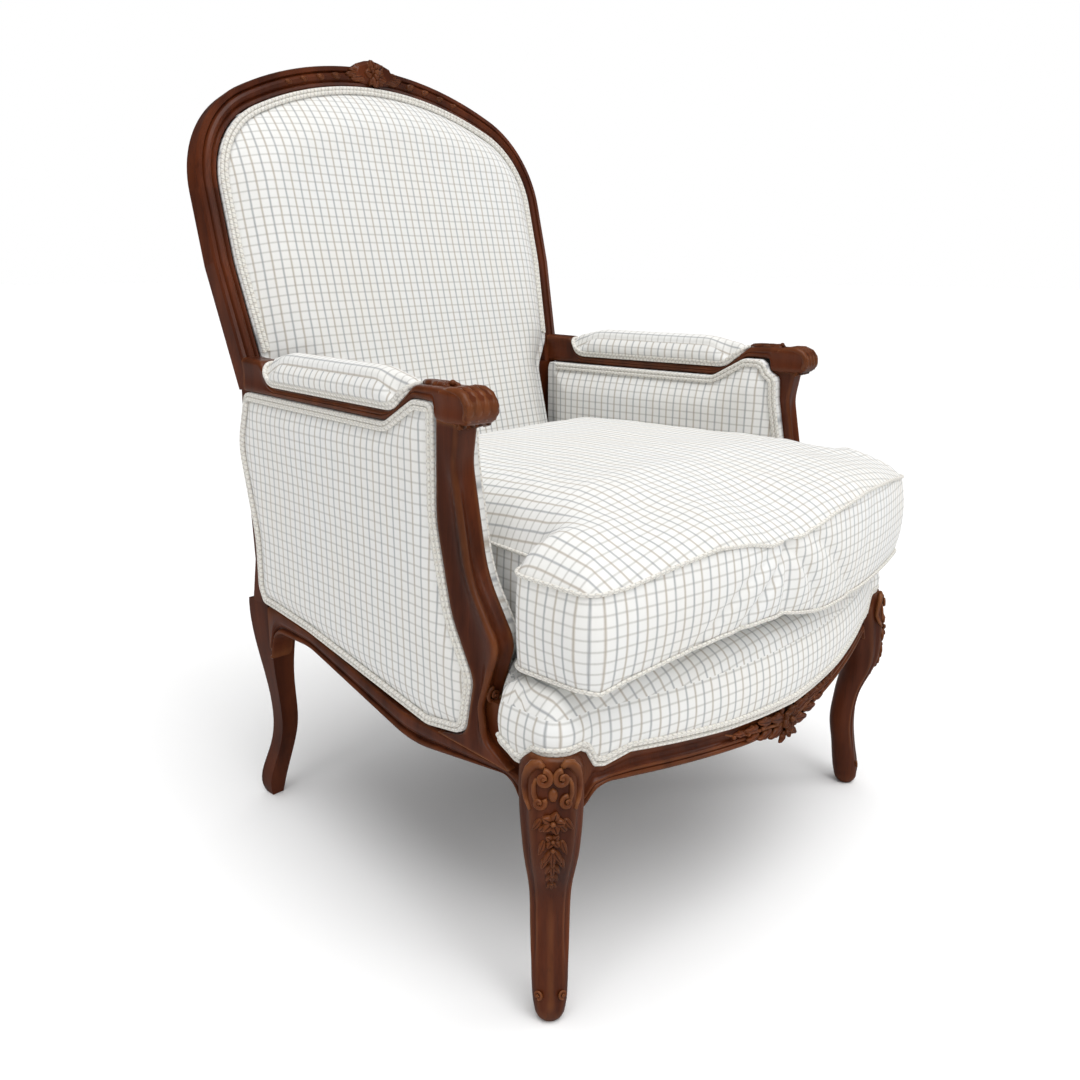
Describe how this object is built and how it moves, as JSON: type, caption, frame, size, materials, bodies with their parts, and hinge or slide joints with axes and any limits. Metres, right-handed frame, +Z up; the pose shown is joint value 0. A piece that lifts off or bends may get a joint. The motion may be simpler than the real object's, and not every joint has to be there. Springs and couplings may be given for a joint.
{
  "type": "bergere armchair",
  "caption": "Upholstered bergere armchair with a carved show-wood frame, cabriole legs, padded arms and a loose T-shaped seat cushion.",
  "frame": {"origin": "on the floor, under the centre of the chair's bounding box", "axes": "+Z up, -Y the way the chair faces, +X towards the chair's side seen on the right from the front"},
  "size_m": [0.714, 0.7655, 1.0216],
  "materials": {
    "show_wood": "satin polished walnut",
    "frame_wood": "plain beech",
    "check_fabric": "woven check upholstery fabric",
    "welt_fabric": "corded welt in the same fabric",
    "webbing": "jute webbing",
    "hessian": "hessian cloth",
    "dust_cloth": "black cambric",
    "stuffing": "hair and felt stuffing",
    "feather_insert": "down-proof ticking"
  },
  "bodies": {
    "chair": {"arm_dowels": "frame_wood", "arm_left": "show_wood", "arm_pad_left": "check_fabric", "arm_pad_right": "check_fabric", "arm_pad_welt_left": "welt_fabric", "arm_pad_welt_right": "welt_fabric", "arm_right": "show_wood", "arm_support_left": "show_wood", "arm_support_right": "show_wood", "back_hessian": "hessian", "back_webbing": "webbing", "corner_block_front_left": "frame_wood", "corner_block_front_right": "frame_wood", "corner_block_rear_left": "frame_wood", "corner_block_rear_right": "frame_wood", "crest_dowels": "frame_wood", "crest_rail": "show_wood", "dust_cover": "dust_cloth", "front_leg_left": "show_wood", "front_leg_right": "show_wood", "front_seat_rail": "show_wood", "inside_back_pad": "check_fabric", "inside_back_welt": "welt_fabric", "inside_side_pad_left": "check_fabric", "inside_side_pad_right": "check_fabric", "inside_side_welt_left": "welt_fabric", "inside_side_welt_right": "welt_fabric", "lower_back_rail": "frame_wood", "outside_back_panel": "check_fabric", "outside_back_welt": "welt_fabric", "outside_side_panel_left": "check_fabric", "outside_side_panel_right": "check_fabric", "outside_side_welt_left": "welt_fabric", "outside_side_welt_right": "welt_fabric", "platform_cover": "check_fabric", "platform_stuffing": "stuffing", "platform_welt": "welt_fabric", "rear_post_left": "show_wood", "rear_post_right": "show_wood", "rear_seat_rail": "frame_wood", "seat_hessian": "hessian", "seat_webbing_cross": "webbing", "seat_webbing_long": "webbing", "side_seat_rail_left": "show_wood", "side_seat_rail_right": "show_wood", "side_webbing_left": "webbing", "side_webbing_right": "webbing"},
    "seat_cushion": {"cushion_cover": "check_fabric", "cushion_insert": "feather_insert", "cushion_bottom_welt": "welt_fabric", "cushion_top_welt": "welt_fabric"}
  },
  "joints": [
    {"name": "cushion_lift", "type": "slide", "parent": "chair", "child": "seat_cushion", "axis": [0, -0.9397, 0.342], "range_m": [0, 0.8]}
  ]
}
